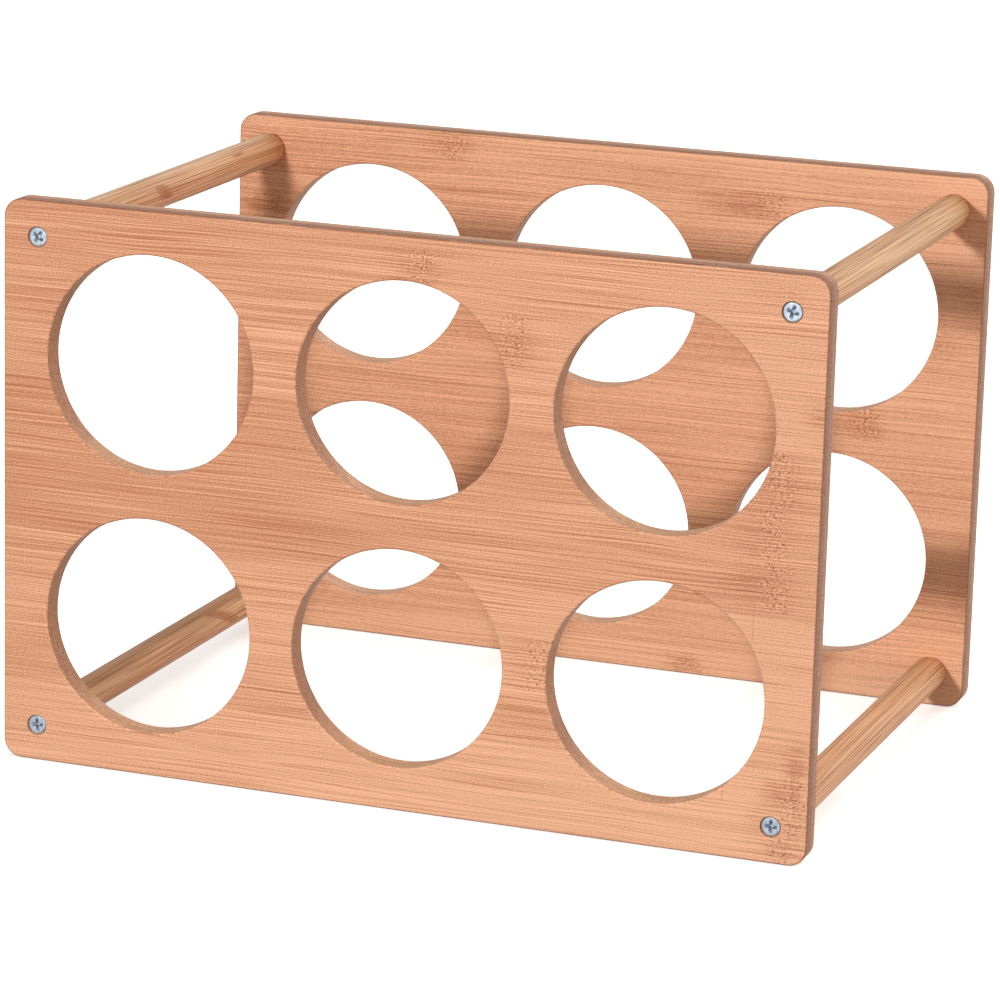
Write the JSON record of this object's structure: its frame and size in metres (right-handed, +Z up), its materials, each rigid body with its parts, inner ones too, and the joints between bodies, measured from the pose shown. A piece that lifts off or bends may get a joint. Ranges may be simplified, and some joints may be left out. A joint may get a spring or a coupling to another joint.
{
  "type": "wine rack",
  "caption": "Bamboo table-top wine rack: two rounded panels with round bottle holes, held parallel by dowels and countersunk screws at the corners.",
  "frame": {"origin": "on the surface that the rack stands on, at the middle of the rack across and in depth", "axes": "+X to the right across the panels, +Y along the bottles from the front panel to the back panel, +Z up"},
  "size_m": [0.335, 0.24, 0.227],
  "materials": {
    "bamboo_panel": "satin lacquered, warm caramel, side-pressed strips with node marks",
    "bamboo_dowel": "satin, paler straw brown, grain along the dowel",
    "zinc_screw": "bright zinc plate, slightly blue"
  },
  "bodies": {
    "root": {"front_panel": "bamboo_panel", "back_panel": "bamboo_panel", "dowel_top_left": "bamboo_dowel", "dowel_top_right": "bamboo_dowel", "dowel_bottom_left": "bamboo_dowel", "dowel_bottom_right": "bamboo_dowel", "screw_front_top_left": "zinc_screw", "screw_front_top_right": "zinc_screw", "screw_front_bottom_left": "zinc_screw", "screw_front_bottom_right": "zinc_screw", "screw_back_top_left": "zinc_screw", "screw_back_top_right": "zinc_screw", "screw_back_bottom_left": "zinc_screw", "screw_back_bottom_right": "zinc_screw"}
  },
  "joints": []
}
